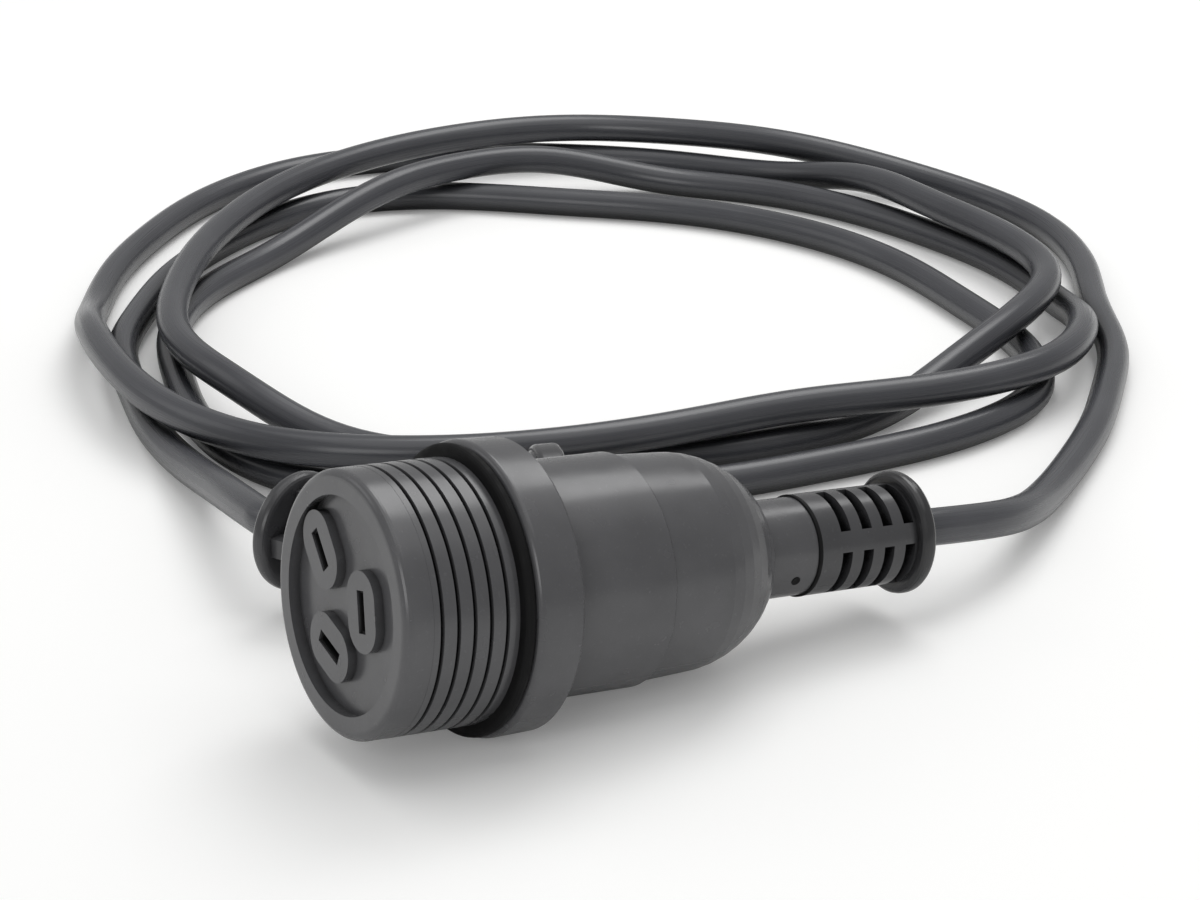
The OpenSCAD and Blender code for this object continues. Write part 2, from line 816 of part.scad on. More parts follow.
module plug_strain_relief() {
    ring_turn = plug_bend / slot_rows * (1 - slot_w / slot_pitch);
    web = 3.6;
    color(moulded)
        at_plug() {
            turned([[cord_r + loose, plug_l - stub_l], [neck_bore_r - fit, plug_l - stub_l],
                [neck_bore_r - fit, plug_l + fit], [cage_d / 2, plug_l + fit],
                [cage_d / 2, plug_l + collar_l], [cord_r + loose, plug_l + collar_l]]);
            bent(0, plug_bend)
                difference() {
                    union() {
                        circle(r = relief_tube_d / 2, $fn = plain);
                        square([cage_d - 0.6, web], center = true);
                        square([web, cage_d - 0.6], center = true);
                    }
                    circle(r = cord_r + fit, $fn = plain);
                }
            for (i = [1:slot_rows - 1])
                bent(plug_bend * i / slot_rows - ring_turn / 2, ring_turn)
                    difference() {
                        circle(r = cage_d / 2, $fn = plain);
                        circle(r = relief_tube_d / 2 - 0.5, $fn = plain);
                    }
            on_bend(plug_bend)
                relief_flange(0);
        }
}

// ---- Free cord --------------------------------------------------------------------

module cord_socket_lead() {
    color(sheath_colour)
        tube(lead_in, cord_r, lead_sides, before_socket, socket_beyond);
}

module cord_coil() {
    color(sheath_colour)
        tube(coil_points, cord_r, coil_sides, coil_before, coil_after);
}

module cord_plug_lead() {
    color(sheath_colour)
        tube(lead_out, cord_r, lead_sides, plug_beyond, after_plug);
}

socket_front();
contact_carrier();
contact_active();
contact_neutral();
contact_earth();
terminal_screws();
sealing_washer();
front_shell();
rear_shell();
gland_seal();
cord_clamp();
clamp_screws();
socket_core_active();
socket_core_neutral();
socket_core_earth();
socket_sheath();
strain_relief();
plug_body();
pin_bridge();
pin_active();
pin_neutral();
pin_earth();
pin_sleeves();
plug_core_active();
plug_core_neutral();
plug_core_earth();
plug_sheath();
plug_strain_relief();
cord_socket_lead();
cord_coil();
cord_plug_lead();
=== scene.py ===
"""Looks for a weatherproof shore power cord: a threaded screw-collar socket, its loosely coiled
cord and the flat-pin plug on the far end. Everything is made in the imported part's frame. Sizes
and places on the part are written in millimetres, and MM turns them to metres."""

import math

import bpy
from mathutils import Matrix, Vector


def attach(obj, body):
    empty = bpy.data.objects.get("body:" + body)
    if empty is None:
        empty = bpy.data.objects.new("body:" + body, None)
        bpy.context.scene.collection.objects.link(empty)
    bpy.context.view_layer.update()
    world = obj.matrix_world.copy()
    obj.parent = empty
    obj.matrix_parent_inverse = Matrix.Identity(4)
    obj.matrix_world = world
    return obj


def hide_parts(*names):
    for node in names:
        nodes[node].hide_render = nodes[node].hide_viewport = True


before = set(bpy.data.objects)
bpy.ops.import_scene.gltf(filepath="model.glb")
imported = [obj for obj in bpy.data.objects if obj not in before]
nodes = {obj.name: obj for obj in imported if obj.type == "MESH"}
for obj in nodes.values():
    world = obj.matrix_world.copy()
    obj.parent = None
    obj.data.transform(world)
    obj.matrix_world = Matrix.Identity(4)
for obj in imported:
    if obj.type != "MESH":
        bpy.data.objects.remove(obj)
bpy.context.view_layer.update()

MM = 0.001

# The cord's ends: its width, the slope of the socket, and where the cord leaves each strain relief
# and which way. It runs straight for a short way there.
CORD_D = 6.8
STRAIGHT_L = CORD_D
SOCKET_TILT = 6
SOCKET_EXIT = (56.308, 0.0, 15.242)
SOCKET_AXIS = (math.cos(math.radians(SOCKET_TILT)), 0.0, -math.sin(math.radians(SOCKET_TILT)))
PLUG_EXIT = (-33.949, 59.622, 14.239)
PLUG_AXIS = (-0.32548, 0.94548, -0.01122)

# The coil: its middle, the angles at which it starts and ends, the angle between its points, and
# its radius at every ROW_STEP degrees from FIRST_ROW.
COIL_CENTRE = (84.2, 165.2)
COIL_START, COIL_END, COIL_STEP = -45.0, 1245.0, 15
FIRST_ROW, ROW_STEP = -60.0, 30.0
COIL_RADII = [
    128, 119.5,
    131.5, 119, 119.5, 103, 87, 83, 90, 93, 91.5, 93.5,
    95, 109, 103, 113, 119, 126, 110, 102.5, 106.5, 115, 101.5, 94,
    116, 112, 103, 101.5, 97, 80, 76.5, 83, 91.5, 112, 110, 108,
    113.5, 90.5, 82, 78.5, 80, 96, 92, 92, 103,
]

# The angles between which the coil is raised over another turn, the angle that it takes to climb,
# and the height of its middle on the floor and where it is raised.
HUMPS = [(28, 190), (312, 371), (532, 667), (787, 812)]
RAMP, LOW, HIGH = 24.0, 3.4, 10.8

# The free stretches between the straight ends and the coil.
SOCKET_LEAD = [
    (76, 0.9, 12.6), (87.4, 6.4, 9.2), (99.8, 15.4, 5.9), (114.3, 26.2, 4),
    (129.2, 37.7, 3.5), (143.2, 49.2, 3.4), (156.7, 63.2, 3.4),
]
PLUG_LEAD = [
    (-16.8, 168.2, 3.4), (-23.1, 147.2, 3.4), (-26.1, 128.2, 3.8),
    (-28.8, 110.2, 6.2), (-31.9, 93.2, 9.6), (-34.7, 78.4, 12.4),
]

# The drawn line: about how far apart its points are, how often its bends are eased, and how many
# points at each end are held in place.
LINE_STEP, EASING_PASSES, HELD = 3, 30, 3

# The socket's origin in the frame. The sizes and places below are on the socket, along its own
# axis and out from it.
SOCKET_PLACE = (-23.850, 0.0, 23.667)

# The coupling thread: its middle, the number and pitch of its grooves, the radius and wall of its
# sleeve, the rows that each pitch is cut into, and the share of the radius that a groove keeps.
THREAD_MIDDLE, GROOVES, THREAD_PITCH = -19.1, 5, 2.95
SLEEVE_R, SLEEVE_WALL = 22.03, 0.3
ROWS_PER_PITCH, GROOVE_SHARE = 8, 0.945

# The slots' pattern: its turn, and its place across the face. Each slot has its angle round the
# pattern, its distance out and its own turn.
PATTERN_TURN, PATTERN_PLACE = 45.0, (1.4, 0.3)
SLOTS = {
    "earth_slot_lip": (0, 10.31, 0),
    "active_slot_lip": (120, 7.92, 90),
    "neutral_slot_lip": (-120, 7.92, 90),
}

# The lip in each slot: its middle, its depth, length and width, the width of its rim and how much
# its edges are rounded.
LIP_MIDDLE, LIP_SIZE = -30.3, (0.9, 6.97, 2.22)
LIP_RIM, LIP_ROUND = 0.42, 0.08

# The ring behind the neck: how far its middle is past the neck's end, its radius, width and wall,
# and how much its edges are rounded.
NECK_END = 56.8
RING_PAST_NECK, RING_R, RING_WIDTH, RING_WALL, RING_ROUND = 0.1, 8.96, 0.8, 0.6, 0.2

# The pip in the vent: how far it is before the neck's end, its angle round the neck, how far out it
# is, its radius and height, the width of its rim and the depth of the dish inside that.
PIP_BEFORE_END, PIP_ANGLE, PIP_OUT = 4.3, 111, 8.45
PIP_R, PIP_HEIGHT, PIP_RIM, PIP_DISH = 0.85, 0.5, 0.25, 0.06

# The tones of each moulded PVC: the painted shade in its recesses, its darker and lighter clouds,
# and its specks.
GREY_PVC = ("131314", "4b4b4d", "545456", "606062")
DARK_PVC = ("0d0d0e", "3c3c3e", "444446", "4e4e50")

# The sheath's draw lines: 40 follow one another along the cord and 26 lie side by side round it,
# so each is about 65 mm long and 0.8 mm wide.
DRAW_LINES = (40, 26, 1)

# The strain relief's end flange, along the frame's X, and how far before it the painted shade of
# the dished flange starts.
RELIEF_FLANGE_X, SHADE_FADE = 53.6, 1.5

# Most of a noise pattern's values lie between these.
NOISE_LOW, NOISE_HIGH = 0.3, 0.7

# The camera: its place in metres, how far round from -Y and how far above the floor it looks from
# in degrees, its lens and sensor in millimetres, and how near and far it sees in metres.
CAMERA_PLACE = (-0.2717, -0.4313, 0.2431)
CAMERA_ROUND, CAMERA_ABOVE = -31.6, 21.5
LENS_LENGTH, SENSOR_WIDTH = 99, 36
NEAREST, FURTHEST = 0.01, 50

# The studio, in metres and watts: the floor, the strength of the light all round and of the floor's
# own glow, and each soft box's place, its aim, its width and its power.
WHITE = (1, 1, 1, 1)
FLOOR_WIDTH, FLOOR_MIDDLE = 12, (0.08, 0.15, 0)
LIGHT_ALL_ROUND, FLOOR_GLOW = 0.44, 0.13
SOFTBOXES = {
    "overhead_softbox": ((0.2, 0.04, 1.2), (0.05, 0.08, 0), 1.4, 5.4),
    "side_softbox": ((0.52, 0.42, 0.9), (0.03, 0.05, 0), 0.6, 3.2),
    "left_softbox": ((-0.65, 0.75, 0.6), (0.0, 0.05, 0), 0.5, 0.6),
    "front_softbox": ((-0.95, -0.72, 0.6), (0.0, 0.05, 0), 0.6, 2.8),
}


def look_at_the_socket():
    """The camera, a little above the floor in front of the socket's face."""
    azimuth, elevation = math.radians(CAMERA_ROUND), math.radians(CAMERA_ABOVE)
    back = Vector((
        math.sin(azimuth) * math.cos(elevation),
        -math.cos(azimuth) * math.cos(elevation),
        math.sin(elevation),
    ))
    lens = bpy.data.cameras.new("camera")
    lens.sensor_width = SENSOR_WIDTH
    lens.lens = LENS_LENGTH
    lens.clip_start, lens.clip_end = NEAREST, FURTHEST
    camera = bpy.data.objects.new("camera", lens)
    bpy.context.scene.collection.objects.link(camera)
    camera.location = CAMERA_PLACE
    camera.rotation_mode = "QUATERNION"
    camera.rotation_quaternion = (-back).to_track_quat("-Z", "Y")
    bpy.context.scene.camera = camera


# ---- the cord's line -------------------------------------------------------------------------


def climb(t):
    """From 0 to 1, and level at both."""
    t = min(1.0, max(0.0, t))
    return t * t * (3 - 2 * t)


def lift(angle):
    """How far the coil is raised at this angle, from 0 on the floor to 1 over another turn."""
    return max(
        min(climb((angle - first + RAMP) / RAMP), climb((last + RAMP - angle) / RAMP))
        for first, last in HUMPS
    )


def through(before, start, end, after, t):
    """A smooth curve through start and end, whose ends lean towards their neighbours."""
    return 0.5 * (
        2 * start + (end - before) * t
        + (2 * before - 5 * start + 4 * end - after) * t * t
        + (3 * start - 3 * end + after - before) * t ** 3
    )


def coil_point(angle):
    """The cord's middle at this angle round the coil."""
    row = (angle - FIRST_ROW) / ROW_STEP
    i = math.floor(row)
    near = [COIL_RADII[min(max(i + k, 0), len(COIL_RADII) - 1)] for k in (-1, 0, 1, 2)]
    radius = through(*near, row - i)
    turn = math.radians(angle)
    return Vector((
        COIL_CENTRE[0] + radius * math.cos(turn),
        COIL_CENTRE[1] + radius * math.sin(turn),
        LOW + (HIGH - LOW) * lift(angle),
    ))


def soften(line):
    """The line with its short bends eased, and its ends left as they are."""
    for _ in range(EASING_PASSES):
        inner = zip(line[HELD - 1 :], line[HELD:-HELD], line[HELD + 1 :])
        line = line[:HELD] + [(a + 2 * b + c) / 4 for a, b, c in inner] + line[-HELD:]
    return line


def cord_line():
    """The whole cord's centre line from socket to plug, in metres. It is eased, then moved back by
    as much as a second easing would move it, which keeps it close to the route."""
    steps = round((COIL_END - COIL_START) / COIL_STEP)
    coil = [coil_point(COIL_START + COIL_STEP * i) for i in range(steps + 1)]
    socket_exit, socket_axis = Vector(SOCKET_EXIT), Vector(SOCKET_AXIS)
    plug_exit, plug_axis = Vector(PLUG_EXIT), Vector(PLUG_AXIS)
    stops = [socket_exit, socket_exit + STRAIGHT_L * socket_axis]
    stops += [Vector(p) for p in SOCKET_LEAD] + coil + [Vector(p) for p in PLUG_LEAD]
    stops += [plug_exit + STRAIGHT_L * plug_axis, plug_exit]
    padded = [stops[0] - STRAIGHT_L * socket_axis, *stops, stops[-1] - STRAIGHT_L * plug_axis]
    line = []
    for before, start, end, after in zip(padded, padded[1:], padded[2:], padded[3:]):
        pieces = max(2, round((end - start).length / LINE_STEP))
        line += [through(before, start, end, after, k / pieces) for k in range(pieces)]
    line.append(stops[-1])
    soft = soften(line)
    return [(2 * p - q) * MM for p, q in zip(soft, soften(soft))]


def lay_the_cord(sheath):
    """The cord as one unbroken round tube along its line."""
    line = cord_line()
    shape = bpy.data.curves.new("cord", "CURVE")
    shape.dimensions = "3D"
    shape.bevel_depth = CORD_D / 2 * MM
    shape.bevel_resolution = 8
    spline = shape.splines.new("POLY")
    spline.points.add(len(line) - 1)
    for stop, place in zip(spline.points, line):
        stop.co = (*place, 1)
    spline.use_smooth = True
    shape.materials.append(sheath)
    cord = bpy.data.objects.new("cord", shape)
    bpy.context.scene.collection.objects.link(cord)
    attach(cord, "root")
    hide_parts("cord_socket_lead", "cord_coil", "cord_plug_lead")


# ---- finishes --------------------------------------------------------------------------------


def linear(code):
    """A colour written as six hex digits, as the linear values that a shader takes."""
    parts = [int(code[i : i + 2], 16) / 255 for i in (0, 2, 4)]
    return (*[p / 12.92 if p <= 0.04045 else ((p + 0.055) / 1.055) ** 2.4 for p in parts], 1)


def connect(node, inputs):
    """Sets each of these inputs to its value, or links it to the output that feeds it."""
    for name, value in inputs.items():
        if isinstance(value, bpy.types.NodeSocket):
            node.id_data.links.new(value, node.inputs[name])
        else:
            node.inputs[name].default_value = value


def add(tree, kind, output, inputs=None, **settings):
    """Adds a node with its settings and links, and gives one of its outputs."""
    node = tree.nodes.new("ShaderNode" + kind)
    for name, value in settings.items():
        setattr(node, name, value)
    connect(node, inputs or {})
    return node.outputs[output]


def new_finish(name):
    """A new material, its tree of nodes, and the place on the piece that its patterns read."""
    material = bpy.data.materials.new(name)
    material.use_nodes = True
    tree = material.node_tree
    return material, tree, add(tree, "TexCoord", "Object")


def lay_over(tree, under, over, pattern, low=NOISE_LOW, high=NOISE_HIGH, most=1.0):
    """One colour over another: none of it where the pattern is low, and most of it where high."""
    amount = add(tree, "MapRange", "Result", {
        "Value": pattern, "From Min": low, "From Max": high, "To Min": 0, "To Max": most,
    })
    return add(tree, "Mix", "Result", {"Factor": amount, "A": under, "B": over}, data_type="RGBA")


def give_surface(material, inputs, sheen, smooth, rough):
    """Feeds the shader these inputs, and a roughness from smooth to rough that follows the sheen
    pattern."""
    roughness = add(material.node_tree, "MapRange", "Result", {
        "Value": sheen, "From Min": NOISE_LOW, "From Max": NOISE_HIGH,
        "To Min": smooth, "To Max": rough,
    })
    shader = material.node_tree.nodes["Principled BSDF"]
    connect(shader, {**inputs, "Roughness": roughness})
    return material


def moulded_pvc(name, tones, shaded_from=None):
    """PVC moulded in a textured tool: a satin skin with a fine tooth, faint clouds and pale
    specks, with painted shade that turns it near black in its recesses, and painted shade that
    darkens it along X towards the strain relief's dished end flange. A real tool's texture is
    finer than this tooth, which is drawn as coarse as it has to be to show."""
    painted_shade, dark_cloud, light_cloud, pale = (linear(code) for code in tones)
    material, pvc, place = new_finish(name)
    cloud = add(pvc, "TexNoise", "Fac", {"Vector": place, "Scale": 1 / (12 * MM), "Detail": 3})
    speck = add(pvc, "TexNoise", "Fac", {"Vector": place, "Scale": 1 / (0.6 * MM), "Detail": 2})
    tooth = add(pvc, "TexNoise", "Fac", {"Vector": place, "Scale": 1 / (0.35 * MM), "Detail": 3})
    patch = add(pvc, "TexNoise", "Fac", {"Vector": place, "Scale": 1 / (5 * MM), "Detail": 3})
    unshaded = add(pvc, "AmbientOcclusion", "AO", {"Distance": 3 * MM}, only_local=True, samples=8)
    tone = lay_over(pvc, dark_cloud, light_cloud, cloud)
    tone = lay_over(pvc, tone, pale, speck, low=0.62, high=0.75, most=0.35)
    # Painted shade: near black in the piece's own recesses, grooves and slots.
    tone = lay_over(pvc, painted_shade, tone, unshaded, low=0.25, high=0.75)
    # Painted shade on the strain relief's dished end flange, darker along X towards it.
    if shaded_from:
        x = add(pvc, "SeparateXYZ", "X", {"Vector": place})
        shade_start = shaded_from - SHADE_FADE
        tone = lay_over(pvc, tone, painted_shade, x, low=shade_start * MM, high=shaded_from * MM, most=0.6)
    skin = add(pvc, "Bump", "Normal", {"Height": tooth, "Distance": 0.02 * MM, "Strength": 0.2})
    skin = add(pvc, "Bump", "Normal", {
        "Height": cloud, "Distance": 0.2 * MM, "Strength": 0.1, "Normal": skin,
    })
    inputs = {"Base Color": tone, "Normal": skin, "IOR": 1.5, "Specular IOR Level": 0.5}
    return give_surface(material, inputs, patch, smooth=0.2, rough=0.28)


def cord_sheath():
    """Flexible PVC drawn over the cores: smooth, with faint draw lines along its length, and near
    black with painted shade where it lies close to the floor or to another turn."""
    material, pvc, place = new_finish("cord_sheath_pvc")
    along = add(pvc, "TexCoord", "UV")
    drawn = add(pvc, "Mapping", "Vector", {"Vector": along, "Scale": DRAW_LINES})
    lines = add(pvc, "TexNoise", "Fac", {"Vector": drawn, "Scale": 1, "Detail": 2})
    cloud = add(pvc, "TexNoise", "Fac", {"Vector": place, "Scale": 1 / (20 * MM), "Detail": 2})
    tooth = add(pvc, "TexNoise", "Fac", {"Vector": place, "Scale": 1 / (0.5 * MM), "Detail": 2})
    unshaded = add(pvc, "AmbientOcclusion", "AO", {"Distance": 8 * MM}, samples=8)
    tone = lay_over(pvc, linear("404145"), linear("47484c"), cloud)
    tone = lay_over(pvc, tone, linear("55565a"), lines, low=0.5, high=0.8, most=0.3)
    # Painted shade: near black where the cord lies close to the floor or to another turn.
    tone = lay_over(pvc, linear("121315"), tone, unshaded, low=0.35, high=0.9)
    skin = add(pvc, "Bump", "Normal", {"Height": lines, "Distance": 0.08 * MM, "Strength": 0.2})
    skin = add(pvc, "Bump", "Normal", {
        "Height": tooth, "Distance": 0.02 * MM, "Strength": 0.25, "Normal": skin,
    })
    inputs = {"Base Color": tone, "Normal": skin, "IOR": 1.5, "Specular IOR Level": 0.5}
    return give_surface(material, inputs, lines, smooth=0.22, rough=0.32)


def black_rubber():
    """Moulded rubber: matte and black, with a dusty bloom in soft patches."""
    material, rubber, place = new_finish("black_rubber")
    bloom = add(rubber, "TexNoise", "Fac", {"Vector": place, "Scale": 1 / (3 * MM), "Detail": 4})
    tooth = add(rubber, "TexNoise", "Fac", {"Vector": place, "Scale": 1 / (0.4 * MM), "Detail": 3})
    tone = lay_over(rubber, linear("080809"), linear("101011"), bloom, low=0.45, high=0.75)
    skin = add(rubber, "Bump", "Normal", {"Height": tooth, "Distance": 0.03 * MM, "Strength": 0.3})
    inputs = {"Base Color": tone, "Normal": skin, "IOR": 1.5, "Specular IOR Level": 0.2}
    return give_surface(material, inputs, bloom, smooth=0.6, rough=0.8)


def rolled_brass():
    """Brass strip, rolled and stamped: fine rolling lines along X, and a little brown tarnish."""
    material, brass, place = new_finish("rolled_brass")
    rolled = add(brass, "Mapping", "Vector", {"Vector": place, "Scale": (1, 12, 12)})
    lines = add(brass, "TexNoise", "Fac", {"Vector": rolled, "Scale": 1 / (4 * MM), "Detail": 3})
    tarnish = add(brass, "TexNoise", "Fac", {"Vector": place, "Scale": 1 / (4 * MM), "Detail": 4})
    tone = lay_over(brass, linear("d1aa62"), linear("b08745"), tarnish, low=0.4)
    skin = add(brass, "Bump", "Normal", {"Height": lines, "Distance": 0.03 * MM, "Strength": 0.25})
    inputs = {"Base Color": tone, "Normal": skin, "Metallic": 1}
    return give_surface(material, inputs, lines, smooth=0.22, rough=0.42)


def plated_steel():
    """Zinc-plated steel: faintly blue, and a little cloudy."""
    material, steel, place = new_finish("zinc_plated_steel")
    cloud = add(steel, "TexNoise", "Fac", {"Vector": place, "Scale": 1 / (1.5 * MM), "Detail": 3})
    tooth = add(steel, "TexNoise", "Fac", {"Vector": place, "Scale": 1 / (0.3 * MM), "Detail": 2})
    tone = lay_over(steel, linear("c2c4c8"), linear("a4a7ad"), cloud, low=0.35)
    skin = add(steel, "Bump", "Normal", {"Height": tooth, "Distance": 0.01 * MM, "Strength": 0.3})
    inputs = {"Base Color": tone, "Normal": skin, "Metallic": 1}
    return give_surface(material, inputs, cloud, smooth=0.25, rough=0.45)


def moulded_nylon():
    """Moulded nylon: ivory, with a waxy glow from just under its skin."""
    material, nylon, place = new_finish("moulded_nylon")
    cloud = add(nylon, "TexNoise", "Fac", {"Vector": place, "Scale": 1 / (6 * MM), "Detail": 3})
    tooth = add(nylon, "TexNoise", "Fac", {"Vector": place, "Scale": 1 / (0.5 * MM), "Detail": 3})
    tone = lay_over(nylon, linear("d9d6cb"), linear("cfcbbd"), cloud)
    skin = add(nylon, "Bump", "Normal", {"Height": tooth, "Distance": 0.02 * MM, "Strength": 0.3})
    inputs = {
        "Base Color": tone, "Normal": skin, "IOR": 1.53,
        "Subsurface Weight": 0.15, "Subsurface Scale": 2 * MM,
    }
    return give_surface(material, inputs, cloud, smooth=0.38, rough=0.5)


def core_insulation(name, first, second):
    """PVC extruded round a core: one bright colour with a soft shine."""
    material, pvc, place = new_finish(name)
    cloud = add(pvc, "TexNoise", "Fac", {"Vector": place, "Scale": 1 / (4 * MM), "Detail": 2})
    tooth = add(pvc, "TexNoise", "Fac", {"Vector": place, "Scale": 1 / (0.6 * MM), "Detail": 2})
    tone = lay_over(pvc, linear(first), linear(second), cloud)
    skin = add(pvc, "Bump", "Normal", {"Height": tooth, "Distance": 0.02 * MM, "Strength": 0.2})
    inputs = {"Base Color": tone, "Normal": skin, "IOR": 1.5}
    return give_surface(material, inputs, cloud, smooth=0.28, rough=0.38)


def studio_paper():
    """Matte white paper that glows a little to the camera alone, so that it stays white there."""
    material, paper, place = new_finish("studio_paper")
    cloud = add(paper, "TexNoise", "Fac", {"Vector": place, "Scale": 1 / (400 * MM), "Detail": 2})
    seen = add(paper, "LightPath", "Is Camera Ray")
    glow = add(paper, "MapRange", "Result", {
        "Value": seen, "From Min": 0, "From Max": 1, "To Min": 0, "To Max": FLOOR_GLOW,
    })
    connect(paper.nodes["Principled BSDF"], {
        "Base Color": lay_over(paper, linear("f3f3f2"), linear("f6f6f5"), cloud),
        "Roughness": 0.9,
        "Specular IOR Level": 0.1,
        "Emission Color": WHITE,
        "Emission Strength": glow,
    })
    return material


def finish_the_nodes(sheath, grey, rubber):
    """Gives each CAD node the finish of its real material."""
    dark = moulded_pvc("relief_dark_pvc", DARK_PVC)
    # This finish has painted shade that darkens the strain relief's dished end flange.
    relief = moulded_pvc("shaded_relief_pvc", DARK_PVC, shaded_from=RELIEF_FLANGE_X)
    brass, steel, nylon = rolled_brass(), plated_steel(), moulded_nylon()
    brown = core_insulation("core_brown_pvc", "5a3420", "6b3f27")
    blue = core_insulation("core_blue_pvc", "22509c", "2a5cae")
    green = core_insulation("core_green_pvc", "4c8f38", "569c40")
    finishes = {
        grey: ["socket_front", "front_shell", "rear_shell"],
        dark: ["plug_body", "plug_strain_relief"],
        relief: ["strain_relief"],
        rubber: ["sealing_washer", "gland_seal", "pin_sleeves"],
        brass: [
            "contact_active", "contact_neutral", "contact_earth",
            "pin_active", "pin_neutral", "pin_earth",
        ],
        steel: ["terminal_screws", "clamp_screws"],
        nylon: ["contact_carrier", "cord_clamp", "pin_bridge"],
        brown: ["socket_core_active", "plug_core_active"],
        blue: ["socket_core_neutral", "plug_core_neutral"],
        green: ["socket_core_earth", "plug_core_earth"],
        sheath: [
            "socket_sheath", "plug_sheath", "cord_socket_lead", "cord_coil", "cord_plug_lead",
        ],
    }
    for material, names in finishes.items():
        for name in names:
            mesh = nodes[name].data
            mesh.materials.clear()
            mesh.materials.append(material)


# ---- small parts of the socket ---------------------------------------------------------------


def at_socket():
    """The move that takes a piece made along the X axis to its place on the sloping socket."""
    slope = Matrix.Rotation(math.radians(SOCKET_TILT), 4, "Y")
    return Matrix.Translation(Vector(SOCKET_PLACE) * MM) @ slope


def start_piece(primitive, **settings):
    """A new primitive at its size and place, alone in the selection."""
    bpy.ops.object.select_all(action="DESELECT")
    getattr(bpy.ops.mesh, primitive)(**settings)
    bpy.ops.object.transform_apply(location=True, rotation=True, scale=True)
    return bpy.context.object


def start_tube(sides, radius, length, middle):
    """A new tube along the X axis, open at both ends, alone in the selection."""
    return start_piece(
        "primitive_cylinder_add", vertices=sides, radius=radius * MM, depth=length * MM,
        end_fill_type="NOTHING", location=(middle * MM, 0, 0), rotation=(0, math.radians(90), 0),
    )


def pick(piece, kind, test):
    """In edit mode, selects only the vertices, edges or faces that pass the test."""
    bpy.ops.object.mode_set(mode="EDIT")
    bpy.ops.mesh.select_mode(type=kind)
    bpy.ops.mesh.select_all(action="DESELECT")
    bpy.ops.object.mode_set(mode="OBJECT")
    mesh = piece.data
    for item in {"VERT": mesh.vertices, "EDGE": mesh.edges, "FACE": mesh.polygons}[kind]:
        item.select = test(item)
    bpy.ops.object.mode_set(mode="EDIT")


def apply_modifier(piece, kind, **settings):
    """Leaves edit mode, and shapes the piece with one modifier."""
    bpy.ops.object.mode_set(mode="OBJECT")
    modifier = piece.modifiers.new(kind.lower(), kind)
    for name, value in settings.items():
        setattr(modifier, name, value)
    bpy.ops.object.modifier_apply(modifier=modifier.name)


def smooth(piece):
    """Leaves edit mode, and shades the piece's curves smooth and its corners sharp."""
    bpy.ops.object.mode_set(mode="OBJECT")
    bpy.ops.object.shade_smooth_by_angle(angle=math.radians(30))
    return piece


def copy_of(piece):
    """The same shape again, with a mesh of its own."""
    copy = piece.copy()
    copy.data = piece.data.copy()
    bpy.context.scene.collection.objects.link(copy)
    return copy


def fit(piece, name, material, move):
    """Names a finished shape, moves it to its place and lets it ride on the part."""
    piece.data.transform(move)
    piece.name = piece.data.name = name
    piece.data.materials.append(material)
    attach(piece, "root")


def cut_the_thread(pvc):
    """The coupling thread: a thin sleeve over the nose's ridges, with flat lands between its
    narrow grooves."""
    sleeve = start_tube(128, SLEEVE_R, GROOVES * THREAD_PITCH, THREAD_MIDDLE)
    corners = sleeve.data.vertices
    half = GROOVES // 2
    grooves = [(THREAD_MIDDLE + k * THREAD_PITCH) * MM for k in range(-half, half + 1)]

    def runs_along(edge):
        first, second = (corners[i].co.x for i in edge.vertices)
        return abs(first - second) > MM

    def in_a_groove(corner):
        return min(abs(corner.co.x - groove) for groove in grooves) < 0.1 * MM

    pick(sleeve, "EDGE", runs_along)
    bpy.ops.mesh.subdivide(number_cuts=GROOVES * ROWS_PER_PITCH - 1)
    pick(sleeve, "VERT", in_a_groove)
    bpy.ops.transform.resize(value=(1, GROOVE_SHARE, GROOVE_SHARE), center_override=(0, 0, 0))
    apply_modifier(sleeve, "SOLIDIFY", thickness=SLEEVE_WALL * MM, offset=-1)
    fit(smooth(sleeve), "coupling_thread", pvc, at_socket())


def line_the_slots(rubber):
    """A soft lip inside the mouth of each slot, which keeps out dust and splashes."""
    lip = start_piece(
        "primitive_cube_add", size=MM, location=(LIP_MIDDLE * MM, 0, 0), scale=LIP_SIZE
    )
    pick(lip, "FACE", lambda face: abs(face.normal.x) > 0.9)
    bpy.ops.mesh.inset(thickness=LIP_RIM * MM)
    bpy.ops.mesh.bridge_edge_loops()
    apply_modifier(lip, "BEVEL", width=LIP_ROUND * MM, segments=2)
    smooth(lip)
    turn_pattern = Matrix.Rotation(-math.radians(PATTERN_TURN), 4, "X")
    to_pattern = at_socket() @ turn_pattern @ Matrix.Translation(Vector((0, *PATTERN_PLACE)) * MM)
    lips = [lip, copy_of(lip), copy_of(lip)]
    for piece, (name, (angle, distance, turn)) in zip(lips, SLOTS.items()):
        to_slot = (
            Matrix.Rotation(math.radians(angle), 4, "X")
            @ Matrix.Translation((0, 0, distance * MM))
            @ Matrix.Rotation(math.radians(turn + 90), 4, "X")
        )
        fit(piece, name, rubber, to_pattern @ to_slot)


def seal_the_joint(rubber):
    """The rubber ring in the joint of neck and strain relief."""
    ring = start_tube(96, RING_R, RING_WIDTH, NECK_END + RING_PAST_NECK)
    apply_modifier(ring, "SOLIDIFY", thickness=RING_WALL * MM, offset=-1)
    apply_modifier(ring, "BEVEL", width=RING_ROUND * MM, segments=3)
    fit(smooth(ring), "joint_ring", rubber, at_socket())


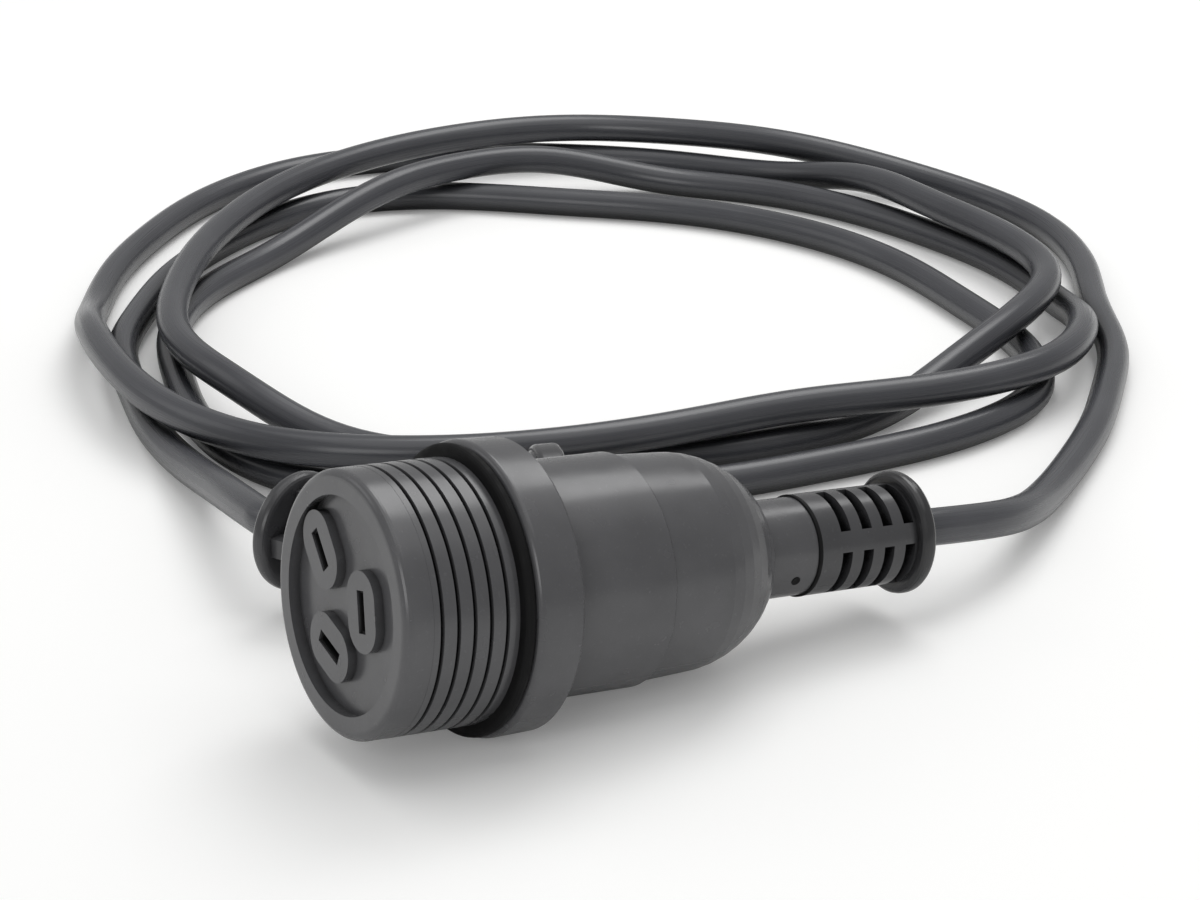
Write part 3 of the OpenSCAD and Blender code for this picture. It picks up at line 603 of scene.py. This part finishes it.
def shut_the_vent(rubber):
    """The dished rubber pip that shuts the vent in the neck."""
    pip = start_piece(
        "primitive_cylinder_add", vertices=32, radius=PIP_R * MM, depth=PIP_HEIGHT * MM
    )
    pick(pip, "FACE", lambda face: face.normal.z > 0.9)
    bpy.ops.mesh.inset(thickness=PIP_RIM * MM)
    bpy.ops.transform.translate(value=(0, 0, -PIP_DISH * MM))
    to_top = Matrix.Translation(Vector((NECK_END - PIP_BEFORE_END, 0, PIP_OUT)) * MM)
    on_neck = Matrix.Rotation(math.radians(PIP_ANGLE), 4, "X") @ to_top
    fit(smooth(pip), "vent_pip", rubber, at_socket() @ on_neck)


# ---- studio ----------------------------------------------------------------------------------


def lay_the_floor():
    """A wide level floor of white paper."""
    bpy.ops.object.select_all(action="DESELECT")
    bpy.ops.mesh.primitive_plane_add(size=FLOOR_WIDTH, location=FLOOR_MIDDLE)
    floor = bpy.context.object
    floor.name = "floor"
    bpy.ops.object.transform_apply(location=True)
    floor.data.materials.append(studio_paper())


def light_the_studio():
    """Even white light all round, and four soft boxes above and beside the part."""
    world = bpy.data.worlds.new("studio")
    world.use_nodes = True
    connect(world.node_tree.nodes["Background"], {"Color": WHITE, "Strength": LIGHT_ALL_ROUND})
    bpy.context.scene.world = world
    for name, (place, aim, width, power) in SOFTBOXES.items():
        light = bpy.data.lights.new(name, "AREA")
        light.size = width
        light.energy = power
        lamp = bpy.data.objects.new(name, light)
        bpy.context.scene.collection.objects.link(lamp)
        lamp.location = place
        lamp.rotation_mode = "QUATERNION"
        lamp.rotation_quaternion = (Vector(aim) - Vector(place)).to_track_quat("-Z", "Y")


def main():
    """Makes the scene."""
    look_at_the_socket()
    sheath = cord_sheath()
    lay_the_cord(sheath)
    grey = moulded_pvc("moulded_grey_pvc", GREY_PVC)
    rubber = black_rubber()
    finish_the_nodes(sheath, grey, rubber)
    cut_the_thread(grey)
    line_the_slots(rubber)
    seal_the_joint(rubber)
    shut_the_vent(rubber)
    lay_the_floor()
    light_the_studio()
    bpy.context.scene.view_settings.view_transform = "Standard"


main()
